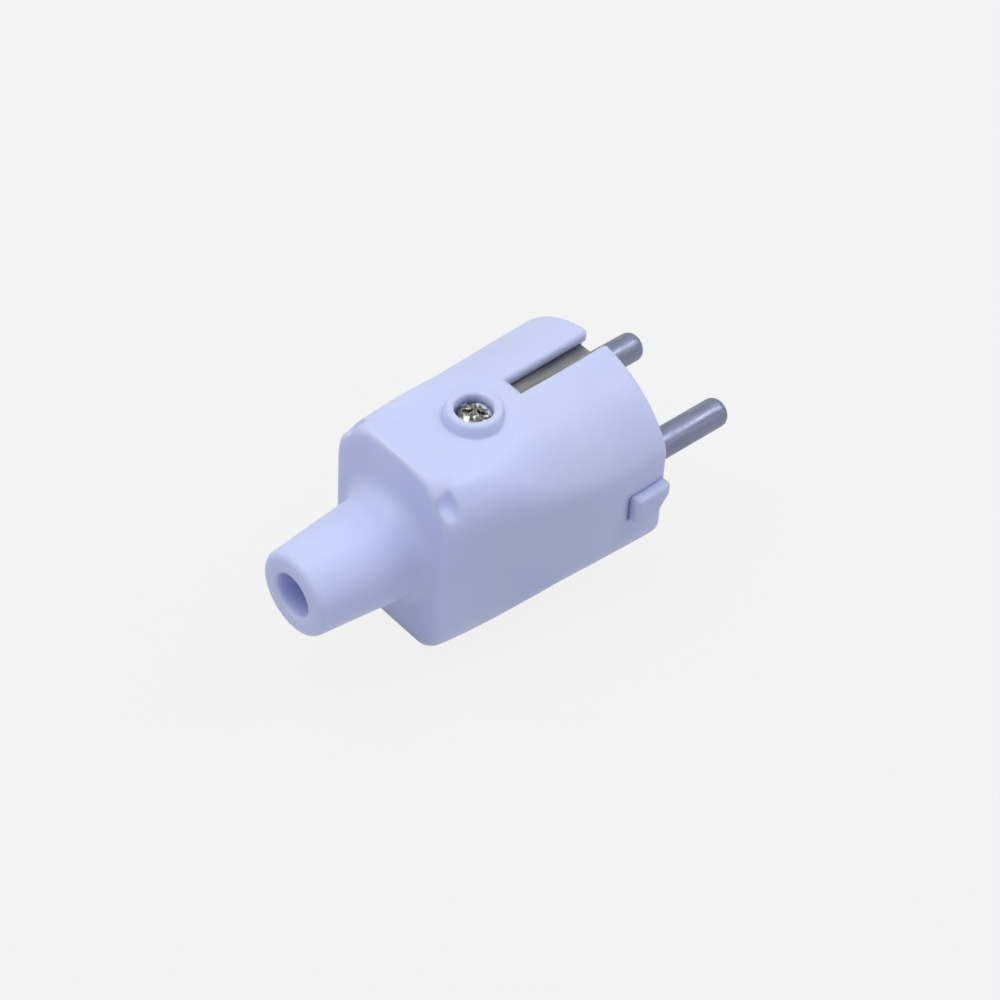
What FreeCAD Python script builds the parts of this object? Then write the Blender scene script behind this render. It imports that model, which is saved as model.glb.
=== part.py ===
import FreeCAD, Part
import math
import os
import re

import Sketcher

# Straight rewireable type F plug.
# +X runs along the plug towards the pin tips and +Z is up, on the side of the cover screw.
# The origin is the centre of the engagement face, midway between the two pins. Lengths are in mm.

SIZES = (
    # Outline of the cover: four cross sections, each with flat sides, rounded corners and an arched top
    ("rim_proud", 0.3, "cover rim ahead of the engagement face"),
    ("shoulder_distance", 14.0, "engagement face to the shoulder section"),
    ("middle_distance", 26.0, "engagement face to the middle section"),
    ("body_length", 38.6, "engagement face to the rear face"),
    ("front_half_width", 16.7, "half width at the rim"),
    ("front_crown", 18.5, "height of the arch at the rim"),
    ("front_arch", 18.5, "radius of the arch at the rim"),
    ("front_corner", 5.0, "corner radius at the rim"),
    ("shoulder_half_width", 16.3, "half width at the shoulder"),
    ("shoulder_crown", 18.0, "height of the arch at the shoulder"),
    ("shoulder_arch", 18.0, "radius of the arch at the shoulder"),
    ("shoulder_corner", 6.0, "corner radius at the shoulder"),
    ("middle_half_width", 14.4, "half width at the middle section"),
    ("middle_crown", 18.0, "height of the arch at the middle section"),
    ("middle_arch", 18.0, "radius of the arch at the middle section"),
    ("middle_corner", 8.0, "corner radius at the middle section"),
    ("rear_half_width", 12.8, "half width at the rear face"),
    ("rear_crown", 18.0, "height of the arch at the rear face"),
    ("rear_arch", 18.0, "radius of the arch at the rear face"),
    ("rear_corner", 9.5, "corner radius at the rear face"),
    ("cover_wall", 1.8, "wall of the cover"),
    ("rear_wall", 4.8, "wall behind the cavity"),
    ("rim_round", 0.5, "rounding of the rim's outer edge"),
    ("rear_round", 1.0, "rounding of the rear face's edge"),
    # Flat panels above and below, each with a ramp at its front
    ("panel_height", 15.8, "flat panel above the axis"),
    ("panel_front", 17.2, "engagement face to the top of the panel's front ramp"),
    ("panel_ramp", 6.0, "front ramp of the panel along the plug"),
    ("panel_rear_ramp", 4.0, "rear ramp of the upper panel along the plug"),
    ("panel_rear_height", 17.4, "rear ramp at the rear face above the axis"),
    ("panel_blend", 3.0, "blend between the panel and its ramps"),
    # Cord cone
    ("cone_length", 18.4, "rear face to the cone's end"),
    ("cone_base_radius", 8.5, "cone at the rear face"),
    ("cone_tip_radius", 6.8, "cone at its end"),
    ("cone_tip_round", 1.2, "rounding of the cone's end"),
    ("cone_root_round", 3.0, "blend of the cone into the rear face"),
    ("cord_bore_radius", 3.6, "cord hole"),
    ("cord_bore_length", 9.0, "straight length of the cord hole"),
    ("cone_inner_radius", 6.0, "inside of the cone at the rear face"),
    ("funnel_radius", 9.5, "cord passage where it opens into the cavity"),
    ("cord_lip_round", 0.4, "rounding of the cord hole's mouth"),
    # Slots, notches and pockets of the cover
    ("slot_width", 3.5, "earth slot"),
    ("slot_length", 16.4, "engagement face to the slot's end"),
    ("slot_lip_round", 0.7, "rounding of the slot's long edges"),
    ("key_length", 6.5, "side key along the plug"),
    ("key_height", 4.4, "side key"),
    ("key_proud", 1.8, "side key beyond the flat side"),
    ("key_nose_length", 1.9, "slanted nose of the side key along the plug"),
    ("key_nose_height", 2.6, "slanted nose of the side key"),
    ("key_round", 0.5, "rounding of the side key's outer edges"),
    ("key_end_gap", 0.55, "gap behind the side key"),
    ("key_side_gap", 0.12, "gap above and below the side key"),
    ("pocket_depth", 3.0, "rear corner pocket along the plug"),
    ("pocket_inner", 7.7, "inner side of the rear corner pocket"),
    ("pocket_floor", 14.2, "floor of the rear corner pocket"),
    ("pocket_round", 0.7, "rounding inside the rear corner pocket"),
    # Screw boss of the cover
    ("boss_distance", 23.5, "engagement face to the boss"),
    ("boss_radius", 4.1, "outside of the boss at its top"),
    ("boss_flare", 0.5, "boss wider at the panel than at its top"),
    ("boss_top", 17.7, "top of the boss above the axis"),
    ("boss_hole_radius", 2.95, "counterbore of the boss"),
    ("boss_seat", 15.0, "seat of the screw head above the axis"),
    ("boss_foot", 13.4, "underside of the boss above the axis"),
    ("boss_round", 0.4, "rounding of the boss's edges"),
    ("screw_passage_radius", 1.7, "passage of the cover screw"),
    # Pin carrier
    ("fit_gap", 0.15, "gap between the carrier's plate and the cover"),
    ("plate_thickness", 4.0, "front plate"),
    ("spine_width", 7.0, "spine inside the earth strip"),
    ("core_length", 17.2, "engagement face to the back of the terminal block"),
    ("block_half_width", 13.8, "terminal block"),
    ("block_half_height", 7.0, "terminal block"),
    ("deck_end_gap", 0.4, "deck's end to the end of the cavity"),
    ("deck_half_width", 9.5, "deck over the cord"),
    ("deck_under", 4.6, "underside of the deck above the axis"),
    ("deck_top", 9.0, "top of the deck above the axis"),
    ("post_radius", 4.0, "post under the boss"),
    ("pillar_radius", 2.2, "pillars of the cord clamp"),
    ("pillar_spacing", 14.4, "between the pillars' centres"),
    ("pillar_foot", 2.5, "lower end of the pillars below the axis"),
    ("clamp_setback", 3.2, "clamp's middle to the end of the deck"),
    ("screw_slack", 0.05, "radial gap round a screw in its own hole"),
    ("pilot_depth", 8.2, "screw hole in a pillar"),
    # Pins
    ("pin_radius", 2.4, "contact pin"),
    ("pin_length", 19.0, "engagement face to the pin's end"),
    ("pin_spacing", 19.0, "between the pins' centres"),
    ("pin_tip_round", 1.5, "rounding of the pin's end"),
    ("pin_collar_radius", 3.0, "collar of the pin inside the front plate"),
    ("pin_collar_start", 0.1, "engagement face to the collar's slanted front"),
    ("pin_shoulder", 2.5, "engagement face to the shoulder behind the collar"),
    ("pin_head_radius", 3.5, "thick end of the pin"),
    ("pin_head_end", 15.8, "engagement face to the pin's inner end"),
    ("pin_slack", 0.05, "radial gap round the pin"),
    ("wire_hole_radius", 1.5, "wire hole of the pin"),
    ("wire_hole_length", 7.3, "wire hole of the pin"),
    ("terminal_distance", 12.3, "engagement face to the terminal screw"),
    ("access_width", 5.4, "opening below the terminal screw"),
    # Earth strip and its terminal
    ("strip_width", 5.0, "earth strip"),
    ("strip_thickness", 0.8, "earth strip"),
    ("strip_seat", 14.9, "underside of the strip's upper leg above the axis"),
    ("strip_front", 0.6, "engagement face to the strip's ends"),
    ("strip_bend", 0.7, "inner radius of the strip's bends"),
    ("strip_slack", 0.15, "gap beside the strip"),
    ("earth_drop", 7.5, "earth screw below the axis"),
    ("washer_width", 7.0, "square washer"),
    ("washer_thickness", 1.2, "square washer"),
    # Cord clamp
    ("bar_width", 4.4, "clamp bar along the plug"),
    ("bar_half_length", 9.4, "clamp bar across the plug"),
    ("bar_thickness", 3.4, "clamp bar"),
    ("saddle_radius", 4.3, "hollow of the clamp bar"),
    # Fasteners
    ("thread_radius", 1.45, "shank of every screw"),
    ("slot_drive_width", 0.8, "slot of the slotted screws"),
    ("slot_drive_depth", 0.8, "slot of the slotted screws"),
    ("terminal_head_radius", 2.4, "terminal screw head"),
    ("terminal_head_height", 1.6, "terminal screw head"),
    ("terminal_shank", 2.7, "terminal screw"),
    ("terminal_stand", 0.6, "terminal screw head below the pin"),
    ("earth_head_radius", 2.8, "earth screw head"),
    ("earth_head_height", 1.9, "earth screw head"),
    ("earth_shank", 6.5, "earth screw"),
    ("clamp_head_radius", 2.6, "clamp screw head"),
    ("clamp_head_height", 1.8, "clamp screw head"),
    ("clamp_shank", 10.0, "clamp screw"),
    ("cover_head_radius", 2.72, "cover screw head"),
    ("cover_head_edge", 1.1, "straight edge of the cover screw head"),
    ("cover_head_dome", 0.7, "dome of the cover screw head"),
    ("cover_shank", 9.6, "cover screw"),
    ("cross_length", 3.3, "cross recess"),
    ("cross_width", 0.75, "cross recess"),
    ("cross_depth", 1.3, "cross recess"),
    ("nut_across_flats", 5.5, "hexagon nut"),
    ("nut_height", 2.4, "hexagon nut"),
    ("nut_top", 8.4, "top of the nut above the axis"),
    ("nut_slack", 0.1, "gap round the nut"),
)

# Places along X that several pieces share
CAVITY_END = "-body_length + rear_wall"
DECK_END = CAVITY_END + " + deck_end_gap"
AT_CLAMP = DECK_END + " + clamp_setback"

CONSTRUCTION = True
DRAWN = False

doc = FreeCAD.newDocument("type_f_plug")
sheet = doc.addObject("Spreadsheet::Sheet", "Sizes")
for row, (alias, number, meaning) in enumerate(SIZES, start=1):
    sheet.set("A%d" % row, alias)
    sheet.set("B%d" % row, str(number))
    sheet.set("C%d" % row, meaning)
    sheet.setAlias("B%d" % row, alias)
doc.recompute()


def qualified(text):
    """The expression with every size named as a cell of the sheet."""
    return re.sub(r"\b([a-z]+_[a-z_]+)\b", r"Sizes.\1", text)


def bind(thing, place, text):
    thing.setExpression(place, qualified(text))


def value(text):
    return float(sheet.evalExpression(qualified(text)))


def origin_part(body, role):
    return next(item for item in body.Origin.OriginFeatures if item.Role == role)


def new_body(label):
    body = doc.addObject("PartDesign::Body", label)
    body.Label = label
    return body


def move(body, x="0", y="0", z="0", rotation=None):
    """Places a body. The texts are expressions of the sheet's sizes."""
    body.Placement = FreeCAD.Placement(FreeCAD.Vector(), rotation or FreeCAD.Rotation())
    for axis, text in (("x", x), ("y", y), ("z", z)):
        bind(body, "Placement.Base." + axis, text)


def new_sketch(body, role, name, offset=None):
    sketch = body.newObject("Sketcher::SketchObject", name)
    sketch.AttachmentSupport = (origin_part(body, role), [""])
    sketch.MapMode = "FlatFace"
    if offset:
        bind(sketch, "AttachmentOffset.Base.z", offset)
    return sketch


def constrain(sketch, name, kind, *items):
    """Adds a dimension and binds it to an expression, the last item."""
    items, text = items[:-1], items[-1]
    index = sketch.addConstraint(Sketcher.Constraint(kind, *items, value(text)))
    sketch.renameConstraint(index, name)
    bind(sketch, "Constraints." + name, text)


def polygon(sketch, corners):
    """A closed outline. Each corner is a pair of expressions, u and v."""
    points = [FreeCAD.Vector(value(u), value(v), 0) for u, v in corners]
    count = len(points)
    for i in range(count):
        sketch.addGeometry(Part.LineSegment(points[i], points[(i + 1) % count]), DRAWN)
    for i in range(count):
        sketch.addConstraint(Sketcher.Constraint("Coincident", i, 2, (i + 1) % count, 1))
    for i, (u, v) in enumerate(corners):
        constrain(sketch, "u%d" % i, "DistanceX", -1, 1, i, 1, u)
        constrain(sketch, "v%d" % i, "DistanceY", -1, 1, i, 1, v)


def cross_section(body, name, distance, half_width, crown, arch, corner):
    """Flat sides, rounded corners, and arcs over the top and under the bottom."""
    sketch = new_sketch(body, "YZ_Plane", name, distance)
    wide, high = value(half_width), value(crown)
    big, small = value(arch), value(corner)
    low = high - big
    reach = ((big - small) ** 2 - (wide - small) ** 2) ** 0.5
    centre = FreeCAD.Vector(wide - small, low + reach, 0)
    turn = FreeCAD.Vector(1, 0, 0).getAngle(FreeCAD.Vector(wide - small, reach, 0))
    half_turn = math.pi
    normal = FreeCAD.Vector(0, 0, 1)

    def arc(x, y, radius, start, end):
        full = Part.Circle(FreeCAD.Vector(x, y, 0), normal, radius)
        sketch.addGeometry(Part.ArcOfCircle(full, start, end), DRAWN)

    def side(sign):
        start = FreeCAD.Vector(sign * wide, -sign * centre.y, 0)
        end = FreeCAD.Vector(sign * wide, sign * centre.y, 0)
        sketch.addGeometry(Part.LineSegment(start, end), DRAWN)

    side(1)
    arc(centre.x, centre.y, small, 0, turn)
    arc(0, low, big, turn, half_turn - turn)
    arc(-centre.x, centre.y, small, half_turn - turn, half_turn)
    side(-1)
    arc(-centre.x, -centre.y, small, half_turn, half_turn + turn)
    arc(0, -low, big, half_turn + turn, 2 * half_turn - turn)
    arc(centre.x, -centre.y, small, 2 * half_turn - turn, 2 * half_turn)
    for first in range(8):
        sketch.addConstraint(Sketcher.Constraint("Tangent", first, 2, (first + 1) % 8, 1))
    for line in (0, 4):
        sketch.addConstraint(Sketcher.Constraint("Vertical", line))
    for like in (3, 5, 7):
        sketch.addConstraint(Sketcher.Constraint("Equal", 1, like))
    sketch.addConstraint(Sketcher.Constraint("Equal", 2, 6))
    for arch_index, sign in ((2, 1), (6, -1)):
        sketch.addConstraint(Sketcher.Constraint("PointOnObject", arch_index, 3, -2))
        point = sketch.addGeometry(Part.Point(FreeCAD.Vector(0, sign * high, 0)), CONSTRUCTION)
        sketch.addConstraint(Sketcher.Constraint("PointOnObject", point, 1, -2))
        sketch.addConstraint(Sketcher.Constraint("PointOnObject", point, 1, arch_index))
        if sign > 0:
            constrain(sketch, "crown", "DistanceY", -1, 1, point, 1, crown)
        else:
            constrain(sketch, "keel", "DistanceY", point, 1, -1, 1, crown)
    constrain(sketch, "arch", "Radius", 2, arch)
    constrain(sketch, "corner", "Radius", 1, corner)
    constrain(sketch, "right", "DistanceX", -1, 1, 0, 1, half_width)
    constrain(sketch, "left", "DistanceX", 4, 1, -1, 1, half_width)
    return sketch


def cover_section(body, name, station, distance, inset="0"):
    """One of the cover's sections, drawn in by the inset on every side."""
    sizes = [
        "%s_%s - (%s)" % (station, part, inset) for part in ("half_width", "crown", "arch", "corner")
    ]
    return cross_section(body, name, distance, *sizes)


def sizes_between(first, second, distance, inset):
    """Sizes of the section at a distance between two of the cover's sections, drawn in by the inset."""
    starts = {"front": "-rim_proud", "shoulder": "shoulder_distance", "middle": "middle_distance"}
    ends = dict(starts, rear="body_length")
    share = "((%s) - (%s)) / ((%s) - (%s))" % (distance, starts[first], ends[second], starts[first])
    return [
        "{0}_{2} + ({1}_{2} - {0}_{2}) * {3} - ({4})".format(first, second, part, share, inset)
        for part in ("half_width", "crown", "arch", "corner")
    ]


def loft(body, kind, name, sections, ruled):
    feature = body.newObject("PartDesign::" + kind, name)
    feature.Profile = sections[0]
    feature.Sections = sections[1:]
    feature.Ruled = ruled
    for sketch in sections:
        sketch.Visibility = False
    doc.recompute()
    return feature


def pad(body, sketch, name, length, both_ways=False, kind="Pad", back=False):
    feature = body.newObject("PartDesign::" + kind, name)
    feature.Profile = sketch
    bind(feature, "Length", length)
    feature.Midplane = both_ways
    feature.Reversed = back
    doc.recompute()
    return feature


def turn_about(body, sketch, name, kind="Revolution", axis="H_Axis"):
    feature = body.newObject("PartDesign::" + kind, name)
    feature.Profile = sketch
    feature.ReferenceAxis = (sketch, [axis])
    feature.Angle = 360
    doc.recompute()
    return feature


def box(body, kind, name, x, y, z):
    """An added or taken box. x, y and z are pairs of expressions, low and high."""
    feature = body.newObject("PartDesign::%sBox" % kind, name)
    for side, axis, (low, high) in (("Length", "x", x), ("Width", "y", y), ("Height", "z", z)):
        bind(feature, side, "(%s) - (%s)" % (high, low))
        bind(feature, "Placement.Base." + axis, low)
    doc.recompute()
    return feature


ALONG_X = FreeCAD.Rotation(FreeCAD.Vector(0, 1, 0), 90)
UPRIGHT = FreeCAD.Rotation()


def rod(body, kind, name, radius, length, at, rotation=UPRIGHT):
    """An added or taken cylinder from the point at, along Z or as the rotation turns it."""
    feature = body.newObject("PartDesign::%sCylinder" % kind, name)
    feature.Placement = FreeCAD.Placement(FreeCAD.Vector(), rotation)
    bind(feature, "Radius", radius)
    bind(feature, "Height", length)
    for axis, text in zip("xyz", at):
        bind(feature, "Placement.Base." + axis, text)
    doc.recompute()
    return feature


def edges_where(feature, test):
    names = []
    for number, edge in enumerate(feature.Shape.Edges, start=1):
        if test(edge):
            names.append("Edge%d" % number)
    return names


def round_edges(body, feature, name, radius, test):
    names = edges_where(feature, test)
    if not names:
        raise RuntimeError("no edge found for " + name)
    rounded = body.newObject("PartDesign::Fillet", name)
    rounded.Base = (feature, names)
    bind(rounded, "Radius", radius)
    doc.recompute()
    return rounded


def near(first, second, slack=0.01):
    return abs(first - second) < slack


def lies_at(edge, axis, place):
    low = getattr(edge.BoundBox, axis + "Min")
    high = getattr(edge.BoundBox, axis + "Max")
    return near(low, place) and near(high, place)


def is_circle(edge, radius):
    return isinstance(edge.Curve, Part.Circle) and near(edge.Curve.Radius, radius)


def outer_cover():
    """One moulding: sleeve, cord cone, screw boss, earth slots, key notches and corner pockets."""
    body = new_body("outer_cover")
    stations = (
        ("front", "rim_proud"),
        ("shoulder", "-shoulder_distance"),
        ("middle", "-middle_distance"),
        ("rear", "-body_length"),
    )
    outlines = [
        cover_section(body, name + "_outline", name, distance) for name, distance in stations
    ]
    shell = loft(body, "AdditiveLoft", "sleeve", outlines, False)
    rim, rear = value("rim_proud"), value("-body_length")
    shell = round_edges(body, shell, "rim_edge", "rim_round", lambda edge: lies_at(edge, "X", rim))
    shell = round_edges(body, shell, "rear_edge", "rear_round", lambda edge: lies_at(edge, "X", rear))

    level = "panel_height"
    ramp_top = "(2 * shoulder_crown - panel_height)"
    upper_panel = new_sketch(body, "XZ_Plane", "upper_panel_outline")
    polygon(upper_panel, (
        ("-panel_front + panel_ramp", ramp_top),
        ("-panel_front - panel_ramp", level),
        ("-body_length + panel_rear_ramp", level),
        ("-body_length - panel_rear_ramp", "2 * panel_rear_height - panel_height"),
    ))
    pad(body, upper_panel, "upper_panel", "3 * front_half_width", both_ways=True, kind="Pocket")
    lower_panel = new_sketch(body, "XZ_Plane", "lower_panel_outline")
    polygon(lower_panel, (
        ("-panel_front + panel_ramp", "-" + ramp_top),
        ("-panel_front - panel_ramp", "-" + level),
        ("-body_length - panel_rear_ramp", "-" + level),
        ("-body_length - panel_rear_ramp", "-" + ramp_top),
    ))
    shell = pad(body, lower_panel, "lower_panel", "3 * front_half_width", both_ways=True, kind="Pocket")
    panel_level = value("panel_height")
    shell = round_edges(
        body, shell, "panel_blends", "panel_blend",
        lambda edge: (lies_at(edge, "Z", panel_level) or lies_at(edge, "Z", -panel_level))
        and near(edge.BoundBox.XLength, 0) and edge.BoundBox.XMin > rear + value("rear_round"),
    )

    cone = new_sketch(body, "XZ_Plane", "cone_outline")
    polygon(cone, (
        ("-body_length + rear_wall / 2", "0"),
        ("-body_length + rear_wall / 2", "cone_base_radius"),
        ("-body_length", "cone_base_radius"),
        ("-body_length - cone_length", "cone_tip_radius"),
        ("-body_length - cone_length", "0"),
    ))
    shell = turn_about(body, cone, "cord_cone")
    tip = value("-body_length - cone_length")
    shell = round_edges(body, shell, "cone_end", "cone_tip_round", lambda edge: lies_at(edge, "X", tip))
    shell = round_edges(
        body, shell, "cone_root", "cone_root_round",
        lambda edge: lies_at(edge, "X", rear) and is_circle(edge, value("cone_base_radius")),
    )

    hollow = [
        cover_section(body, "front_cavity", "front", "rim_proud", "cover_wall"),
        cover_section(body, "shoulder_cavity", "shoulder", "-shoulder_distance", "cover_wall"),
    ]
    low_crown = "panel_height - cover_wall"
    for name, first, second, distance, crown in (
        ("ramp_cavity", "shoulder", "middle", "panel_front", None),
        ("panel_cavity", "shoulder", "middle", "panel_front + panel_ramp", low_crown),
        ("rear_cavity", "middle", "rear", "body_length - rear_wall", low_crown),
    ):
        sizes = sizes_between(first, second, distance, "cover_wall")
        if crown:
            sizes[1] = crown
        hollow.append(cross_section(body, name, "-(%s)" % distance, *sizes))
    loft(body, "SubtractiveLoft", "cavity", hollow, True)
    passage = new_sketch(body, "XZ_Plane", "cord_passage_outline")
    polygon(passage, (
        ("-body_length - cone_length", "0"),
        ("-body_length - cone_length", "cord_bore_radius"),
        ("-body_length - cone_length + cord_bore_length", "cord_bore_radius"),
        ("-body_length", "cone_inner_radius"),
        (CAVITY_END, "funnel_radius"),
        (DECK_END, "funnel_radius"),
        (DECK_END, "0"),
    ))
    shell = turn_about(body, passage, "cord_passage", "Groove")
    shell = round_edges(
        body, shell, "cord_lip", "cord_lip_round",
        lambda edge: lies_at(edge, "X", tip) and is_circle(edge, value("cord_bore_radius")),
    )

    boss = new_sketch(body, "XZ_Plane", "boss_outline")
    bind(boss, "AttachmentOffset.Base.x", "-boss_distance")
    polygon(boss, (
        ("0", "boss_foot"),
        ("boss_radius", "boss_foot"),
        ("boss_radius + boss_flare", "panel_height"),
        ("boss_radius", "boss_top"),
        ("0", "boss_top"),
    ))
    turn_about(body, boss, "screw_boss", axis="V_Axis")
    rod(
        body, "Subtractive", "screw_recess", "boss_hole_radius", "boss_top - boss_seat + cover_wall",
        ("-boss_distance", "0", "boss_seat"),
    )
    shell = rod(
        body, "Subtractive", "screw_passage", "screw_passage_radius", "boss_seat - boss_foot + 2 * cover_wall",
        ("-boss_distance", "0", "boss_foot - cover_wall"),
    )
    boss_top = value("boss_top")
    shell = round_edges(body, shell, "boss_edges", "boss_round", lambda edge: lies_at(edge, "Z", boss_top))

    reach = "front_crown + cover_wall"
    for side, low, high in (
        ("upper", "boss_foot - cover_wall", reach), ("lower", "-(%s)" % reach, "-(boss_foot - cover_wall)"),
    ):
        shell = box(
            body, "Subtractive", side + "_earth_slot",
            ("-slot_length", "rim_proud + cover_wall"), ("-slot_width / 2", "slot_width / 2"), (low, high),
        )
    half_slot = value("slot_width / 2")
    outer_skin = value("shoulder_crown - cover_wall / 2")
    shell = round_edges(
        body, shell, "slot_lips", "slot_lip_round",
        lambda edge: (lies_at(edge, "Y", half_slot) or lies_at(edge, "Y", -half_slot))
        and min(abs(edge.BoundBox.ZMin), abs(edge.BoundBox.ZMax)) > outer_skin
        and edge.BoundBox.XLength > value("slot_length / 3"),
    )
    for side, low, high in (
        ("left", "front_half_width / 2", "front_half_width + cover_wall"),
        ("right", "-front_half_width - cover_wall", "-front_half_width / 2"),
    ):
        box(
            body, "Subtractive", side + "_key_notch",
            ("-key_length - key_end_gap", "rim_proud + cover_wall"), (low, high),
            ("-key_height / 2 - key_side_gap", "key_height / 2 + key_side_gap"),
        )
    for side, low, high in (
        ("left", "pocket_inner", "rear_half_width + cover_wall"),
        ("right", "-rear_half_width - cover_wall", "-pocket_inner"),
    ):
        shell = box(
            body, "Subtractive", side + "_corner_pocket",
            ("-body_length - cover_wall", "-body_length + pocket_depth"), (low, high),
            ("pocket_floor", "rear_crown + cover_wall"),
        )
    corner, inner = value("-body_length + pocket_depth"), value("pocket_inner")
    round_edges(
        body, shell, "pocket_corners", "pocket_round",
        lambda edge: lies_at(edge, "X", corner) and near(abs(edge.BoundBox.YMin), inner)
        and near(edge.BoundBox.YLength, 0),
    )
    return body


def pin_carrier():
    """One moulding: front plate with side keys, terminal block, spine, deck, post and clamp pillars."""
    body = new_body("pin_carrier")
    inset = "cover_wall + fit_gap"
    face = cover_section(body, "face_outline", "front", "0", inset)
    back_sizes = sizes_between("front", "shoulder", "plate_thickness", inset)
    back = cross_section(body, "plate_back_outline", "-plate_thickness", *back_sizes)
    loft(body, "AdditiveLoft", "front_plate", [face, back], True)
    block_start = "-plate_thickness / 2"
    box(
        body, "Additive", "terminal_block", ("-core_length", block_start),
        ("-block_half_width", "block_half_width"), ("-block_half_height", "block_half_height"),
    )
    spine = box(
        body, "Additive", "spine", ("-core_length", block_start),
        ("-spine_width / 2", "spine_width / 2"), ("-strip_seat", "strip_seat"),
    )
    spine_end, seat = value("-core_length"), value("strip_seat")
    round_edges(
        body, spine, "spine_bends", "strip_bend + strip_slack",
        lambda edge: lies_at(edge, "X", spine_end) and (lies_at(edge, "Z", seat) or lies_at(edge, "Z", -seat)),
    )
    box(
        body, "Additive", "deck", (DECK_END, "-core_length + plate_thickness"),
        ("-deck_half_width", "deck_half_width"), ("deck_under", "deck_top"),
    )
    rod(
        body, "Additive", "screw_post", "post_radius", "boss_foot - deck_under",
        ("-boss_distance", "0", "deck_under"),
    )
    for side, sign in (("left", ""), ("right", "-")):
        key_outline = new_sketch(body, "XZ_Plane", side + "_key_outline", "-(%sblock_half_width)" % sign)
        half = "key_height / 2"
        polygon(key_outline, (
            ("-key_length", half),
            ("0", half),
            ("0", half + " - key_height + key_nose_height"),
            ("-key_nose_length", "-" + half),
            ("-key_length", "-" + half),
        ))
        key = pad(
            body, key_outline, side + "_key", "front_half_width + key_proud - block_half_width", back=not sign
        )
        tip = value(sign + "(front_half_width + key_proud)")
        round_edges(body, key, side + "_key_edges", "key_round", lambda edge: lies_at(edge, "Y", tip))
        rod(
            body, "Additive", side + "_pillar", "pillar_radius", "pillar_foot + deck_top",
            (AT_CLAMP, sign + "pillar_spacing / 2", "-pillar_foot"),
        )
    for side, low, high in (
        ("upper", "strip_seat", "front_crown"), ("lower", "-front_crown", "-strip_seat"),
    ):
        box(
            body, "Subtractive", side + "_strip_channel", ("-core_length - strip_bend", "cover_wall"),
            ("-strip_width / 2 - strip_slack", "strip_width / 2 + strip_slack"), (low, high),
        )
    box(
        body, "Subtractive", "strip_slot",
        ("-core_length - strip_thickness - 2 * strip_slack", "-core_length"),
        ("-strip_width / 2 - strip_slack", "strip_width / 2 + strip_slack"), ("0", "strip_seat"),
    )
    for side, sign in (("left", ""), ("right", "-")):
        place = sign + "pin_spacing / 2"
        rod(
            body, "Subtractive", side + "_pin_hole", "pin_collar_radius + pin_slack", "pin_shoulder + plate_thickness",
            ("-pin_shoulder", place, "0"), ALONG_X,
        )
        rod(
            body, "Subtractive", side + "_pin_seat", "pin_head_radius + pin_slack",
            "core_length - pin_shoulder + plate_thickness",
            ("-core_length - plate_thickness", place, "0"), ALONG_X,
        )
        box(
            body, "Subtractive", side + "_screw_access",
            ("-terminal_distance - access_width / 2", "-terminal_distance + access_width / 2"),
            (place + " - access_width / 2", place + " + access_width / 2"),
            ("-block_half_height - cover_wall", "-pin_head_radius / 2"),
        )
        rod(
            body, "Subtractive", side + "_pillar_hole", "thread_radius + screw_slack", "pilot_depth",
            (AT_CLAMP, sign + "pillar_spacing / 2", "-pillar_foot"),
        )
    rod(
        body, "Subtractive", "earth_screw_hole", "thread_radius + screw_slack", "earth_shank",
        ("-core_length", "0", "-earth_drop"), ALONG_X,
    )
    rod(
        body, "Subtractive", "cover_screw_hole", "screw_passage_radius", "boss_foot",
        ("-boss_distance", "0", "deck_under"),
    )
    pocket = new_sketch(body, "XY_Plane", "nut_pocket_outline", "deck_under")
    hexagon(pocket, "nut_across_flats + 2 * nut_slack", "-boss_distance")
    pad(body, pocket, "nut_pocket", "nut_top - deck_under", kind="Pocket", back=True)
    return body


def hexagon(sketch, across_flats, u="0"):
    """A regular hexagon with its corners along u."""
    corner = "(%s) / sqrt(3)" % across_flats
    half = "(%s) / 2" % across_flats
    polygon(sketch, (
        ("(%s) + %s" % (u, corner), "0"),
        ("(%s) + %s / 2" % (u, corner), half),
        ("(%s) - %s / 2" % (u, corner), half),
        ("(%s) - %s" % (u, corner), "0"),
        ("(%s) - %s / 2" % (u, corner), "-(%s)" % half),
        ("(%s) + %s / 2" % (u, corner), "-(%s)" % half),
    ))


def contact_pin(label, sign):
    """Turned pin with a shoulder, a wire hole from its inner end and a tapped cross hole."""
    body = new_body(label)
    profile = new_sketch(body, "XZ_Plane", label + "_outline")
    polygon(profile, (
        ("-pin_head_end", "0"),
        ("-pin_head_end", "pin_head_radius"),
        ("-pin_shoulder", "pin_head_radius"),
        ("-pin_shoulder", "pin_collar_radius"),
        ("-pin_collar_start - pin_collar_radius + pin_radius", "pin_collar_radius"),
        ("-pin_collar_start", "pin_radius"),
        ("pin_length", "pin_radius"),
        ("pin_length", "0"),
    ))
    pin = turn_about(body, profile, label + "_turning")
    end = value("pin_length")
    round_edges(body, pin, label + "_tip", "pin_tip_round", lambda edge: lies_at(edge, "X", end))
    rod(
        body, "Subtractive", label + "_wire_hole", "wire_hole_radius", "wire_hole_length",
        ("-pin_head_end", "0", "0"), ALONG_X,
    )
    rod(
        body, "Subtractive", label + "_screw_hole", "thread_radius + screw_slack", "pin_head_radius",
        ("-terminal_distance", "0", "-pin_head_radius"),
    )
    move(body, y=sign + "pin_spacing / 2")
    return body


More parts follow.
